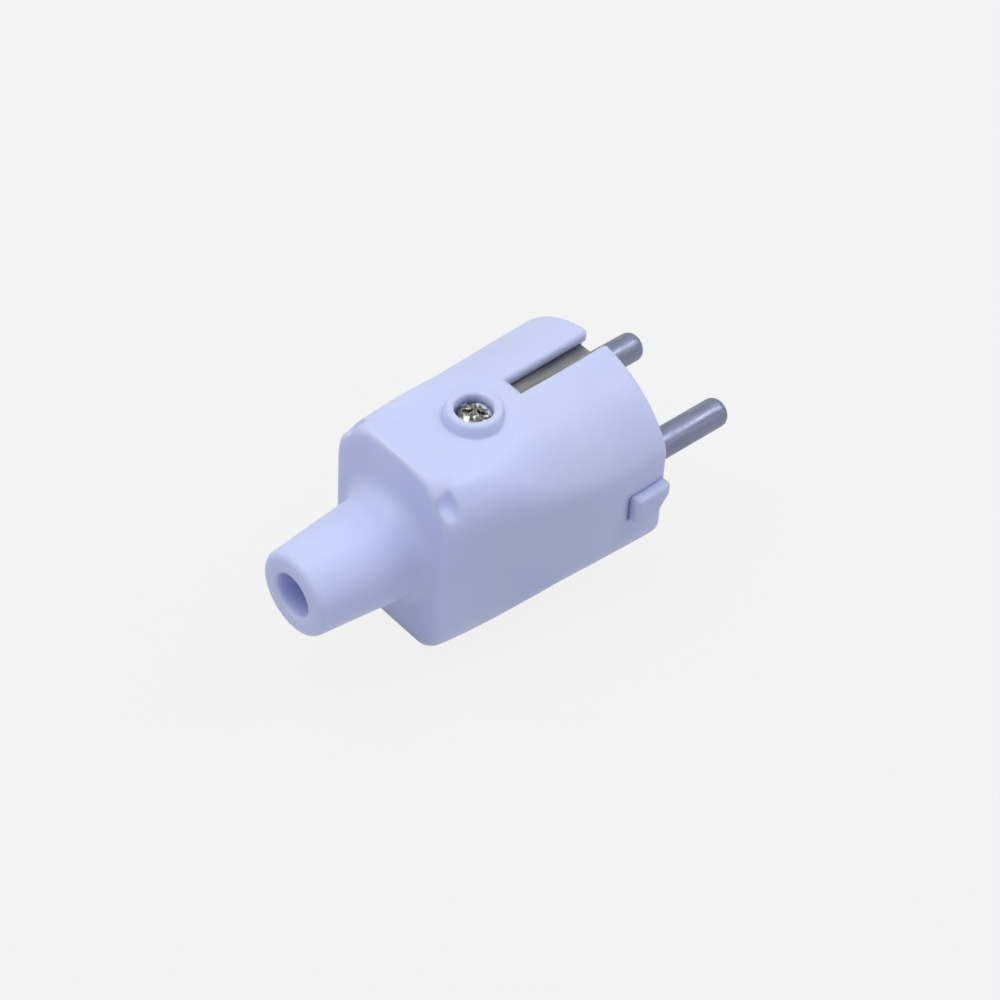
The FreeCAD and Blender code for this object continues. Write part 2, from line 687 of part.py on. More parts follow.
def slotted_screw(label, head_radius, head_height, shank):
    """Cheese-head screw along Z, with its seat at the origin and the head above."""
    body = new_body(label)
    profile = new_sketch(body, "XZ_Plane", label + "_outline")
    polygon(profile, (
        ("0", "-" + shank),
        ("thread_radius - 0.3", "-" + shank),
        ("thread_radius", "-" + shank + " + 0.3"),
        ("thread_radius", "0"),
        (head_radius, "0"),
        (head_radius, head_height),
        ("0", head_height),
    ))
    turn_about(body, profile, label + "_turning", axis="V_Axis")
    box(
        body, "Subtractive", label + "_slot", ("-" + head_radius, head_radius),
        ("-slot_drive_width / 2", "slot_drive_width / 2"),
        (head_height + " - slot_drive_depth", head_height + " + slot_drive_depth"),
    )
    return body


UPSIDE_DOWN = FreeCAD.Rotation(FreeCAD.Vector(1, 0, 0), 180)
FACING_BACK = FreeCAD.Rotation(FreeCAD.Vector(0, 1, 0), -90)


def terminal_screw(label, sign):
    body = slotted_screw(label, "terminal_head_radius", "terminal_head_height", "terminal_shank")
    move(
        body, "-terminal_distance", sign + "pin_spacing / 2", "-pin_head_radius - terminal_stand", UPSIDE_DOWN
    )
    return body


def clamp_screw(label, sign):
    body = slotted_screw(label, "clamp_head_radius", "clamp_head_height", "clamp_shank")
    move(
        body, AT_CLAMP, sign + "pillar_spacing / 2", "-pillar_foot - bar_thickness", UPSIDE_DOWN
    )
    return body


def earth_screw():
    body = slotted_screw("earth_screw", "earth_head_radius", "earth_head_height", "earth_shank")
    move(
        body, "-core_length - strip_thickness - washer_thickness", "0", "-earth_drop", FACING_BACK
    )
    return body


def earth_strip():
    """One bent strip: a contact leg above, a web behind the terminal block and a contact leg below."""
    body = new_body("earth_strip")
    profile = new_sketch(body, "XZ_Plane", "strip_outline")
    polygon(profile, (
        ("-strip_front", "strip_seat"),
        ("-strip_front", "strip_seat + strip_thickness"),
        ("-core_length - strip_thickness", "strip_seat + strip_thickness"),
        ("-core_length - strip_thickness", "-strip_seat - strip_thickness"),
        ("-strip_front", "-strip_seat - strip_thickness"),
        ("-strip_front", "-strip_seat"),
        ("-core_length", "-strip_seat"),
        ("-core_length", "strip_seat"),
    ))
    strip = pad(body, profile, "strip_blank", "strip_width", both_ways=True)
    inside, outside = value("-core_length"), value("-core_length - strip_thickness")
    width = value("strip_width")
    strip = round_edges(
        body, strip, "outer_bends", "strip_bend + strip_thickness",
        lambda edge: lies_at(edge, "X", outside) and near(edge.Length, width),
    )
    strip = round_edges(
        body, strip, "inner_bends", "strip_bend",
        lambda edge: lies_at(edge, "X", inside) and near(edge.Length, width),
    )
    rod(
        body, "Subtractive", "earth_hole", "thread_radius + screw_slack", "2 * strip_thickness",
        ("-core_length - 1.5 * strip_thickness", "0", "-earth_drop"), ALONG_X,
    )
    return body


def earth_washer():
    body = new_body("earth_washer")
    outline = new_sketch(body, "YZ_Plane", "washer_outline")
    half = "washer_width / 2"
    polygon(outline, ((half, half), ("-" + half, half), ("-" + half, "-" + half), (half, "-" + half)))
    pad(body, outline, "washer_blank", "washer_thickness")
    rod(
        body, "Subtractive", "washer_hole", "thread_radius + screw_slack", "2 * washer_thickness",
        ("-washer_thickness / 2", "0", "0"), ALONG_X,
    )
    move(body, "-core_length - strip_thickness - washer_thickness", "0", "-earth_drop")
    return body


def cord_clamp_bar():
    """Bar across the cord with a hollow for it and a screw hole at each end."""
    body = new_body("cord_clamp_bar")
    box(
        body, "Additive", "bar_blank", (AT_CLAMP + " - bar_width / 2", AT_CLAMP + " + bar_width / 2"),
        ("-bar_half_length", "bar_half_length"), ("-pillar_foot - bar_thickness", "-pillar_foot"),
    )
    rod(
        body, "Subtractive", "saddle", "saddle_radius", "2 * bar_width",
        (AT_CLAMP + " - bar_width", "0", "0"), ALONG_X,
    )
    for side, sign in (("left", ""), ("right", "-")):
        rod(
            body, "Subtractive", side + "_bar_hole", "thread_radius + screw_slack", "2 * bar_thickness",
            (AT_CLAMP, sign + "pillar_spacing / 2", "-pillar_foot - 1.5 * bar_thickness"),
        )
    return body


def cover_screw():
    """Domed machine screw with a cross recess, along Z with its seat at the origin."""
    body = new_body("cover_screw")
    profile = new_sketch(body, "XZ_Plane", "cover_screw_outline")
    polygon(profile, (
        ("0", "-cover_shank"),
        ("thread_radius - 0.3", "-cover_shank"),
        ("thread_radius", "-cover_shank + 0.3"),
        ("thread_radius", "0"),
        ("cover_head_radius", "0"),
        ("cover_head_radius", "cover_head_edge"),
        ("cover_head_radius * 0.8", "cover_head_edge + cover_head_dome * 0.6"),
        ("cover_head_radius * 0.45", "cover_head_edge + cover_head_dome * 0.93"),
        ("0", "cover_head_edge + cover_head_dome"),
    ))
    turn_about(body, profile, "cover_screw_turning", axis="V_Axis")
    top = "cover_head_edge + cover_head_dome"
    for name, along, across in (
        ("first_wing", "cross_length / 2", "cross_width / 2"),
        ("second_wing", "cross_width / 2", "cross_length / 2"),
    ):
        box(
            body, "Subtractive", name, ("-" + along, along), ("-" + across, across),
            (top + " - cross_depth", top + " + cross_depth"),
        )
    move(body, "-boss_distance", "0", "boss_seat")
    return body


def cover_nut():
    body = new_body("cover_nut")
    outline = new_sketch(body, "XY_Plane", "nut_outline")
    hexagon(outline, "nut_across_flats")
    pad(body, outline, "nut_blank", "nut_height")
    rod(
        body, "Subtractive", "nut_thread", "thread_radius + screw_slack", "2 * nut_height",
        ("0", "0", "-nut_height / 2"),
    )
    move(body, "-boss_distance", "0", "nut_top - nut_height")
    return body


def checked(parts):
    for thing in doc.Objects:
        if "Invalid" in thing.State or "Error" in thing.State:
            raise RuntimeError("%s did not build: %s" % (thing.Name, thing.State))
    for body in parts:
        shape = body.Shape
        if shape.isNull() or not shape.isValid() or len(shape.Solids) != 1:
            raise RuntimeError("%s is not one sound solid" % body.Label)


parts = [
    outer_cover(),
    pin_carrier(),
    contact_pin("pin_left", ""),
    contact_pin("pin_right", "-"),
    terminal_screw("terminal_screw_left", ""),
    terminal_screw("terminal_screw_right", "-"),
    earth_strip(),
    earth_washer(),
    earth_screw(),
    cord_clamp_bar(),
    clamp_screw("clamp_screw_left", ""),
    clamp_screw("clamp_screw_right", "-"),
    cover_screw(),
    cover_nut(),
]
doc.recompute()
checked(parts)
os.makedirs("parts", exist_ok=True)
for body in parts:
    body.Shape.exportStep("parts/%s.step" % body.Label)
    print("%-22s %9.1f mm3" % (body.Label, body.Shape.Volume))
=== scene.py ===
import math

import bmesh
import bpy
from bpy.props import FloatProperty, FloatVectorProperty, IntProperty, PointerProperty
from mathutils import Matrix, Vector


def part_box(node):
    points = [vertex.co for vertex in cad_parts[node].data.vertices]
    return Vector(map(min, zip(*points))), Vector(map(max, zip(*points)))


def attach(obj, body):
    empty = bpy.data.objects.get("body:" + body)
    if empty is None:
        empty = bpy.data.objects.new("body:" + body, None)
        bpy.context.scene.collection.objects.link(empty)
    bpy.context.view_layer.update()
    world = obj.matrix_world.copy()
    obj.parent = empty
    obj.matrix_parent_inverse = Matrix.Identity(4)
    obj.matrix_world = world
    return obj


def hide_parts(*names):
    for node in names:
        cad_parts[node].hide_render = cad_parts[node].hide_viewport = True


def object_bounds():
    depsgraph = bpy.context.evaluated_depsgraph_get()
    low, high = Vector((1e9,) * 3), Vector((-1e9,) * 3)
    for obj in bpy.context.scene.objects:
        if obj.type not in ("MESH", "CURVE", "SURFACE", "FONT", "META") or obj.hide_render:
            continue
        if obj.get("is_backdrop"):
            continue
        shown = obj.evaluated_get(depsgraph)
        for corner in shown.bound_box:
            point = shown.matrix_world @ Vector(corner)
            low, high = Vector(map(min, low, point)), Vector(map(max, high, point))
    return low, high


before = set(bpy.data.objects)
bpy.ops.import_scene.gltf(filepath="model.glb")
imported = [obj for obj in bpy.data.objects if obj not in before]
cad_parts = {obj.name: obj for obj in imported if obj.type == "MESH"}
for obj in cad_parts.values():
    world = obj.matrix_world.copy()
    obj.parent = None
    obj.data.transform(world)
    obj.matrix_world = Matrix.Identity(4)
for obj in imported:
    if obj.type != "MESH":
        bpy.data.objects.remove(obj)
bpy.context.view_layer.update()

bl_info = {
    "name": "Type F plug",
    "version": (1, 0, 0),
    "blender": (4, 5, 0),
    "location": "View3D > Sidebar > Plug",
    "description": "Finishes, screws and studio of a straight rewireable type F plug",
    "category": "Object",
}

MM = 0.001
RECORD_BODY = "root"
# Faces that meet at less than this are shaded as one
SMOOTH_ANGLE = math.radians(32)
# Edges of a screw's head that turn by more than this are bevelled
HEAD_EDGE_ANGLE = math.radians(40)
# How far a screw's core reaches up into its head
CORE_IN_HEAD = 0.3 * MM
# Width of one band of the wave texture at scale 1
WAVE_BAND = 0.314
# Colour of the even light, a little blue
FILL_TONE = (0.91, 0.95, 1.1)
# Each soft box's name, its place and sides in metres, and the studio setting that holds its power
SOFT_BOXES = (
    ("overhead_softbox", (-0.17, 0.19, 0.77), 0.6, 0.6, "key_power"),
    ("strip_softbox", (0.39, -0.2, 0.67), 0.5, 0.2, "strip_power"),
)
# Each slotted screw's node, the way its head looks, and the head's radius and height in millimetres
SLOTTED = (
    ("terminal_screw_left", (0, 0, -1), 2.4, 1.6),
    ("terminal_screw_right", (0, 0, -1), 2.4, 1.6),
    ("clamp_screw_left", (0, 0, -1), 2.6, 1.8),
    ("clamp_screw_right", (0, 0, -1), 2.6, 1.8),
    ("earth_screw", (-1, 0, 0), 2.8, 1.9),
)


# Properties

def length(name, text, millimetres, low=0.0):
    return FloatProperty(
        name=name, description=text, default=millimetres * MM, min=low * MM, unit="LENGTH", precision=5
    )


def angle(name, text, degrees):
    return FloatProperty(name=name, description=text, default=math.radians(degrees), subtype="ANGLE")


def colour(name, text, red, green, blue):
    """A colour written as the eye sees it, from 0 to 255, and kept in linear light."""
    linear = []
    for shade in (red, green, blue):
        part = shade / 255
        linear.append(part / 12.92 if part <= 0.04045 else ((part + 0.055) / 1.055) ** 2.4)
    return FloatVectorProperty(
        name=name, description=text, default=linear, size=3, subtype="COLOR", min=0.0, max=1.0
    )


def factor(name, text, default):
    return FloatProperty(name=name, description=text, default=default, min=0.0, max=1.0, subtype="FACTOR")


def amount(name, text, default, low=0.0):
    return FloatProperty(name=name, description=text, default=default, min=low)


class PlugColours(bpy.types.PropertyGroup):
    cover: colour("Cover", "Cool white plastic of the cover", 209, 216, 250)
    cover_deep: colour("Cover, deeper", "Deeper tone that clouds the cover's plastic", 203, 210, 247)
    carrier: colour("Carrier", "White plastic of the pin carrier", 204, 211, 246)
    nickel: colour("Nickel", "Satin nickel plate of the pins", 136, 140, 165)
    nickel_dark: colour("Nickel, dark", "Darker streaks in the pins' plate", 118, 122, 145)
    strip: colour("Earth strip", "Plated earth strip", 158, 158, 154)
    zinc: colour("Zinc", "Zinc plate of the inner screws", 176, 178, 184)
    # Plate of the cover screw, darkened to paint in the dark reflections on its head
    bright: colour("Bright steel", "Plate of the cover screw", 112, 112, 109)
    # Near-white metal painted on the cover screw's edges and in spots as glints, standing in for highlights
    painted_glint: colour("Worn steel", "Bright metal on the worn edges of the cover screw", 246, 246, 246)
    floor: colour("Floor", "Pale floor and background", 245, 245, 245)


class PlugFinishes(bpy.types.PropertyGroup):
    plastic_roughness: factor("Plastic roughness", "Mean roughness of the moulded plastic", 0.42)
    nickel_roughness: factor("Nickel roughness", "Mean roughness of the pins", 0.38)
    plastic_grain: length("Plastic grain", "Depth of the fine moulded grain", 0.004)
    edge_softness: length("Edge softness", "Radius by which the plastic's edges look rounded", 1.4)
    turning_pitch: length("Turning pitch", "Distance between the turning marks on the pins", 0.12, 0.01)


class PlugScrews(bpy.types.PropertyGroup):
    thread_pitch: length("Thread pitch", "Pitch of every screw", 0.5, 0.1)
    thread_depth: length("Thread depth", "Depth of every screw's thread", 0.27)
    shank_radius: length("Shank radius", "Outside of every screw's thread", 1.45, 0.2)
    head_facets: IntProperty(
        name="Head facets", description="Segments round a screw head", default=64, min=16
    )
    slot_width: length("Slot width", "Slot of the slotted screws", 0.8)
    slot_depth: length("Slot depth", "Slot of the slotted screws", 0.8)
    recess_length: length("Cross recess", "Tip to tip length of the cross recess", 4.4)
    recess_width: length("Cross recess width", "Width of the cross recess's wings", 1.0)
    recess_depth: length("Cross recess depth", "Depth of the cross recess", 0.85)
    recess_turn: angle("Cross recess turn", "Turn of the cross recess from the plug's axis", 40)
    tick_length: length("Tick length", "Length of the four marks between the wings", 0.8)


class PlugLedges(bpy.types.PropertyGroup):
    cone_length: length("Cone length", "Cord cone behind the cover's rear face", 18.4)
    pocket_depth: length("Pocket depth", "The frame's rear corner pocket along the plug", 3.0)
    pocket_inner: length("Pocket side", "Inner side of the frame's rear corner pocket", 7.7)
    pocket_floor: length("Pocket floor", "Floor of the frame's rear corner pocket", 14.2)
    half_width: length("Rear half width", "Half width of the cover at its rear face", 12.8)
    corner_radius: length("Corner radius", "Rounded corners of the cover at its rear face", 9.5)
    arch_radius: length("Arch radius", "Arched top of the cover at its rear face", 18.0)
    rear_round: length("Rear rounding", "Rounding of the cover's rear edge", 1.0)
    ledge_depth: length("Ledge depth", "Corner ledge along the plug", 2.4)
    ledge_inner: length("Ledge side", "Inner side of the corner ledge at its floor", 9.6)
    ledge_floor: length("Ledge floor", "Height of the corner ledge at its inner side", 13.5)
    ledge_fall: angle("Ledge fall", "Slope of the corner ledge towards the side", 34)
    ledge_draft: angle("Ledge draft", "Slope of the walls round the corner ledge", 14)
    ledge_round: length("Ledge rounding", "Rounding inside the corner ledge", 0.8)


class PlugStudio(bpy.types.PropertyGroup):
    azimuth: angle("Azimuth", "Camera's turn round the plug", -43.59)
    elevation: angle("Elevation", "Camera's height above the horizon", 44.32)
    roll: angle("Roll", "Camera's roll about its own axis", 3.77)
    distance: length("Distance", "Engagement face to the camera", 500.0, 50.0)
    step_left: length("Step left", "Camera's shift to its left", 13.17)
    step_down: length("Step down", "Camera's shift downwards", 10.94)
    lens: amount("Lens", "Focal length in millimetres", 118.8, 20.0)
    key_power: amount("Key power", "Soft light overhead, in watts", 2.9)
    strip_power: amount("Strip power", "Narrow light over the pins, in watts", 1.4)
    fill_strength: amount("Fill", "Even light from all round", 0.46)
    floor_glow: factor("Floor glow", "Share of the floor's look that no shadow darkens", 0.94)
    floor_size: length("Floor size", "Side of the square floor", 6000.0, 500.0)


GROUPS = {
    "plug_colours": PlugColours,
    "plug_finishes": PlugFinishes,
    "plug_screws": PlugScrews,
    "plug_ledges": PlugLedges,
    "plug_studio": PlugStudio,
}


# Material building

class Finish:
    """A new material with its shader, and the texture chains that its finish needs."""

    def __init__(self, name):
        self.material = bpy.data.materials.new(name)
        self.material.use_nodes = True
        self.tree = self.material.node_tree
        self.shader = self.tree.nodes["Principled BSDF"]
        self.place = self.tree.nodes.new("ShaderNodeTexCoord").outputs["Object"]

    def link(self, output, socket):
        self.tree.links.new(output, socket)

    def set(self, name, value):
        """A constant of the shader, by the name of its socket."""
        self.shader.inputs[name].default_value = value

    def noise(self, size, detail=3.0):
        """Clouds of that size."""
        return self.noise_on(self.place, 1 / size, detail)

    def streaks(self, along, across, detail):
        """Clouds drawn out along X, each that long and that wide."""
        node = self.tree.nodes.new("ShaderNodeMapping")
        self.link(self.place, node.inputs["Vector"])
        node.inputs["Scale"].default_value = (1 / along, 1 / across, 1 / across)
        return self.noise_on(node.outputs["Vector"], 1.0, detail)

    def noise_on(self, vector, scale, detail):
        node = self.tree.nodes.new("ShaderNodeTexNoise")
        self.link(vector, node.inputs["Vector"])
        node.inputs["Scale"].default_value = scale
        node.inputs["Detail"].default_value = detail
        return node.outputs["Fac"]

    def rings(self, pitch):
        """Turning marks round X."""
        node = self.tree.nodes.new("ShaderNodeTexWave")
        self.link(self.place, node.inputs["Vector"])
        node.wave_type = "BANDS"
        node.bands_direction = "X"
        node.inputs["Scale"].default_value = WAVE_BAND / pitch
        node.inputs["Distortion"].default_value = 0.6
        return node.outputs["Fac"]

    def between(self, value, low, high, start=0.3, end=0.7):
        """Low where the value is at its start, passing to high where it is at its end."""
        node = self.tree.nodes.new("ShaderNodeMapRange")
        self.link(value, node.inputs["Value"])
        for name, number in (("From Min", start), ("From Max", end), ("To Min", low), ("To Max", high)):
            node.inputs[name].default_value = number
        return node.outputs["Result"]

    def mix(self, value, first, second):
        """The first shade where the value is 0, passing to the second where it is 1.

        A shade is a colour, or another node's output.
        """
        node = self.tree.nodes.new("ShaderNodeMix")
        node.data_type = "RGBA"
        self.link(value, node.inputs["Factor"])
        sockets = [item for item in node.inputs if item.type == "RGBA"]
        for socket, shade in zip(sockets, (first, second)):
            if isinstance(shade, bpy.types.NodeSocket):
                self.link(shade, socket)
            else:
                socket.default_value = (*shade, 1.0)
        return next(item for item in node.outputs if item.type == "RGBA")

    def tint(self, clouds, first, second):
        """The first colour where the clouds are dark, passing to the second where they are light."""
        return self.mix(self.between(clouds, 0.0, 1.0), first, second)

    def soft_edges(self, radius):
        """Normals that round every sharp edge by that radius."""
        node = self.tree.nodes.new("ShaderNodeBevel")
        node.samples = 6
        node.inputs["Radius"].default_value = radius
        return node.outputs["Normal"]

    def painted_glint_edges(self, radius):
        """1 on sharp edges and 0 away from them, marking where painted glints go."""
        plain = self.tree.nodes.new("ShaderNodeNewGeometry").outputs["Normal"]
        product = self.tree.nodes.new("ShaderNodeVectorMath")
        product.operation = "DOT_PRODUCT"
        self.link(self.soft_edges(radius), product.inputs[0])
        self.link(plain, product.inputs[1])
        return self.between(product.outputs["Value"], 1.0, 0.0, start=0.86, end=0.985)

    def relief(self, value, depth, under=None):
        """Normals of a surface raised by the value, over those of the relief under it."""
        node = self.tree.nodes.new("ShaderNodeBump")
        self.link(value, node.inputs["Height"])
        node.inputs["Distance"].default_value = depth
        if under is not None:
            self.link(under, node.inputs["Normal"])
        return node.outputs["Normal"]

    def finish(self, tone, rough=None, normal=None):
        """Links what varies over the surface to the shader, and gives the material."""
        for output, name in ((tone, "Base Color"), (rough, "Roughness"), (normal, "Normal")):
            if output is not None:
                self.link(output, self.shader.inputs[name])
        return self.material


def moulded_plastic(name, tone, deep, roughness, grain, softness):
    """Satin thermoplastic: faint clouds of tone, soft orange peel and a fine moulded grain."""
    finish = Finish(name)
    finish.set("Specular IOR Level", 0.42)
    finish.set("Subsurface Weight", 0.5)
    finish.set("Subsurface Radius", (1.0, 1.0, 1.25))
    finish.set("Subsurface Scale", 2.4 * MM)
    clouds = finish.tint(finish.noise(14 * MM), deep, tone)
    sheen = finish.between(finish.noise(5 * MM), roughness - 0.05, roughness + 0.06)
    peel = finish.relief(finish.noise(2.2 * MM, 1.0), grain * 4, finish.soft_edges(softness))
    return finish.finish(clouds, sheen, finish.relief(finish.noise(0.25 * MM, 2.0), grain, peel))


def turned_nickel(name, tone, dark, roughness, pitch):
    """Satin nickel on turned brass: rings from the tool and long streaks from use in sockets."""
    finish = Finish(name)
    finish.set("Metallic", 1.0)
    streaks = finish.streaks(6 * MM, 0.35 * MM, 2.0)
    plate = finish.tint(streaks, dark, tone)
    rough = finish.between(finish.noise(1.6 * MM, 4.0), roughness - 0.06, roughness + 0.08)
    rings = finish.relief(finish.rings(pitch), 0.0012 * MM)
    return finish.finish(plate, rough, finish.relief(streaks, 0.002 * MM, rings))


def brushed_strip(name, tone, dark):
    """Rolled and plated strip with fine lines along it, dulled by handling."""
    finish = Finish(name)
    finish.set("Metallic", 0.75)
    lines = finish.streaks(9 * MM, 0.2 * MM, 3.0)
    rough = finish.between(finish.noise(2.5 * MM), 0.32, 0.48)
    return finish.finish(finish.tint(lines, dark, tone), rough, finish.relief(lines, 0.003 * MM))


def plated_steel(name, tone, dark, roughness, painted_glint=None):
    """Plated steel with a cloudy lustre and small pits; given a glint colour, painted glints on its sharp
    edges and in scattered spots stand in for highlights.
    """
    finish = Finish(name)
    finish.set("Metallic", 1.0)
    plate = finish.tint(finish.noise(0.9 * MM, 4.0), dark, tone)
    if painted_glint is not None:
        # Painted glints: a near-white metal colour on the sharp edges and in scattered spots, standing in
        # for highlights
        plate = finish.mix(finish.painted_glint_edges(0.16 * MM), plate, painted_glint)
        painted_glint_spots = finish.between(finish.noise(1.3 * MM, 1.0), 0.0, 1.0, start=0.57, end=0.62)
        plate = finish.mix(painted_glint_spots, plate, painted_glint)
    rough = finish.between(finish.noise(0.5 * MM, 3.0), roughness - 0.05, roughness + 0.1)
    pits = finish.relief(finish.noise(0.12 * MM, 2.0), 0.0015 * MM)
    return finish.finish(plate, rough, pits)


def darker(shade, share):
    return [part * share for part in shade]


def dress(material, *nodes):
    """Gives CAD nodes a material."""
    for node in nodes:
        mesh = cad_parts[node].data
        mesh.materials.clear()
        mesh.materials.append(material)


# Mesh building

def start_fresh():
    """Leaves edit mode and deselects everything."""
    if bpy.context.mode != "OBJECT":
        bpy.ops.object.mode_set(mode="OBJECT")
    bpy.ops.object.select_all(action="DESELECT")


def pick(piece):
    """Selects that piece alone."""
    start_fresh()
    piece.select_set(True)
    bpy.context.view_layer.objects.active = piece


def select_parts(piece, kind, test):
    """In edit mode, selects the faces or points that pass the test."""
    mesh = bmesh.from_edit_mesh(piece.data)
    bpy.ops.mesh.select_mode(type=kind)
    for part in mesh.faces if kind == "FACE" else mesh.verts:
        part.select_set(test(part))
    mesh.select_flush_mode()
    bmesh.update_edit_mesh(piece.data)


def select_faces(piece, test):
    """In edit mode, selects the faces whose normal passes the test."""
    select_parts(piece, "FACE", lambda face: test(face.normal))


def select_points(piece, test):
    """In edit mode, selects the points whose place passes the test."""
    select_parts(piece, "VERT", lambda point: test(point.co))


def raise_ring(radius_share, rise):
    """Extrudes the selected cap upwards and draws it in to that share of its width."""
    bpy.ops.mesh.extrude_region_move(TRANSFORM_OT_translate={"value": (0, 0, rise)})
    bpy.ops.transform.resize(value=(radius_share, radius_share, 1))


def apply_modifier(piece, kind, **settings):
    """Adds a modifier with those settings and applies it."""
    pick(piece)
    bpy.ops.object.modifier_add(type=kind)
    modifier = piece.modifiers[-1]
    for name, value in settings.items():
        setattr(modifier, name, value)
    bpy.ops.object.modifier_apply(modifier=modifier.name)


def combine(piece, other, operation):
    """Joins the other piece to the first, or cuts it out, and uses it up."""
    apply_modifier(piece, "BOOLEAN", operation=operation, solver="EXACT", object=other)
    bpy.data.objects.remove(other)


def cut(piece, cutter):
    combine(piece, cutter, "DIFFERENCE")


def merged_copy(node, name):
    """A new object from a CAD node, with its loose triangles joined."""
    piece = bpy.data.objects.new(name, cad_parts[node].data.copy())
    bpy.context.scene.collection.objects.link(piece)
    pick(piece)
    bpy.ops.mesh.customdata_custom_splitnormals_clear()
    bpy.ops.object.mode_set(mode="EDIT")
    bpy.ops.mesh.select_all(action="SELECT")
    bpy.ops.mesh.remove_doubles(threshold=0.0005 * MM)
    bpy.ops.object.mode_set(mode="OBJECT")
    return piece


def screw_head(name, radius, edge, dome, facets):
    """A head on the plane Z 0: straight edge, rounded shoulder and a low dome."""
    start_fresh()
    bpy.ops.mesh.primitive_cylinder_add(
        vertices=facets, radius=radius, depth=edge, location=(0, 0, edge / 2)
    )
    head = bpy.context.object
    head.name = name
    bpy.ops.object.transform_apply(location=True)
    bpy.ops.object.mode_set(mode="EDIT")
    select_faces(head, lambda normal: normal.z > 0.9)
    covered, width = 0.0, 1.0
    steps = 7
    # A power of 1 gives a round dome, and a lower one a flatter dome with a fuller shoulder
    fullness = 0.45
    for step in range(1, steps + 1):
        turn = math.radians(90) * step / (steps + 1)
        next_width = math.cos(turn) ** fullness
        height = dome * math.sin(turn)
        raise_ring(next_width / width, height - covered)
        width, covered = next_width, height
    bpy.ops.mesh.poke()
    bpy.ops.object.mode_set(mode="OBJECT")
    return head


def threaded_shank(name, radius, depth, pitch, reach):
    """A closed thread under the plane Z 0, wound from its profile by a screw modifier."""
    start_fresh()
    bpy.ops.mesh.primitive_circle_add(vertices=4, radius=radius, fill_type="NOTHING")
    shank = bpy.context.object
    shank.name = name
    root = radius - depth
    # The profile is a pitch high, and this share of a pitch stays free at each end of the shank
    free = 0.25
    turns = max(2, round((reach - (1 + 2 * free) * pitch) / pitch))
    # Distance from the axis, and place along the pitch from 0 to 1
    profile = ((radius, 0.0), (radius, 0.12), (root, 0.42), (root, 0.58), (radius, 0.88), (radius, 1.0))
    bpy.ops.object.mode_set(mode="EDIT")
    mesh = bmesh.from_edit_mesh(shank.data)
    bmesh.ops.delete(mesh, geom=list(mesh.verts), context="VERTS")
    line = [mesh.verts.new((out, 0, -reach + pitch * (share + free))) for out, share in profile]
    for first, second in zip(line, line[1:]):
        mesh.edges.new((first, second))
    bmesh.update_edit_mesh(shank.data)
    bpy.ops.object.mode_set(mode="OBJECT")
    apply_modifier(
        shank, "SCREW", screw_offset=pitch, iterations=turns, steps=32, render_steps=32, axis="Z",
        use_merge_vertices=True, merge_threshold=0.01 * MM,
    )
    close_up(shank)
    return shank


def close_up(piece):
    """Merges a piece's doubled points, fills its open ends and turns its faces outwards."""
    pick(piece)
    bpy.ops.object.mode_set(mode="EDIT")
    bpy.ops.mesh.select_all(action="SELECT")
    bpy.ops.mesh.remove_doubles(threshold=0.002 * MM)
    bpy.ops.mesh.fill_holes(sides=0)
    bpy.ops.mesh.select_all(action="SELECT")
    bpy.ops.mesh.normals_make_consistent(inside=False)
    bpy.ops.object.mode_set(mode="OBJECT")


def core(name, radius, low, high, facets):
    """A plain rod between two heights, with bevelled ends."""
    start_fresh()
    bpy.ops.mesh.primitive_cylinder_add(
        vertices=facets, radius=radius, depth=high - low, location=(0, 0, (high + low) / 2)
    )
    rod = bpy.context.object
    rod.name = name
    bpy.ops.object.transform_apply(location=True)
    bevel = radius * 0.18
    apply_modifier(rod, "BEVEL", width=bevel, segments=2, limit_method="ANGLE")
    return rod


def thread_and_core(name, screws, reach):
    """What a screw has under its head: the thread and the core inside it."""
    core_radius = screws.shank_radius - screws.thread_depth * 0.9
    return [
        threaded_shank(
            name + "_thread", screws.shank_radius, screws.thread_depth, screws.thread_pitch, reach
        ),
        core(name + "_core", core_radius, -reach, CORE_IN_HEAD, 32),
    ]


def bevel_head(head, width):
    """Breaks the sharp edges of a screw's head."""
    apply_modifier(
        head, "BEVEL", width=width, segments=2, limit_method="ANGLE", angle_limit=HEAD_EDGE_ANGLE
    )


def block_cutter(size, place, turn=0.0, taper=1.0):
    """A cutting block, its lower end drawn in by the taper."""
    start_fresh()
    bpy.ops.mesh.primitive_cube_add(size=1)
    block = bpy.context.object
    block.scale = size
    block.rotation_euler = (0, 0, turn)
    bpy.ops.object.transform_apply(location=False, rotation=True, scale=True)
    if taper != 1.0:
        bpy.ops.object.mode_set(mode="EDIT")
        select_faces(block, lambda normal: normal.z < -0.9)
        bpy.ops.transform.resize(value=(taper, taper, 1))
        bpy.ops.object.mode_set(mode="OBJECT")
    block.location = place
    bpy.ops.object.transform_apply(location=True)
    return block


def join(name, pieces):
    """Makes one object of several."""
    start_fresh()
    for piece in pieces:
        piece.select_set(True)
    bpy.context.view_layer.objects.active = pieces[0]
    bpy.ops.object.join()
    joined = bpy.context.object
    joined.name = name
    joined.data.name = name
    return joined


def settle(piece, matrix, material, node):
    """Puts a piece in its place, with its place in its mesh, and lets it stand for its CAD node."""
    pick(piece)
    piece.matrix_world = matrix
    bpy.ops.object.transform_apply(location=True, rotation=True, scale=True)
    piece.data.materials.clear()
    piece.data.materials.append(material)
    bpy.ops.object.shade_smooth_by_angle(angle=SMOOTH_ANGLE)
    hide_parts(node)
    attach(piece, RECORD_BODY)


def along(place, direction):
    """The matrix that carries +Z at the origin to that direction at that place."""
    return Matrix.Translation(place) @ Vector(direction).to_track_quat("Z", "Y").to_matrix().to_4x4()


# Operators

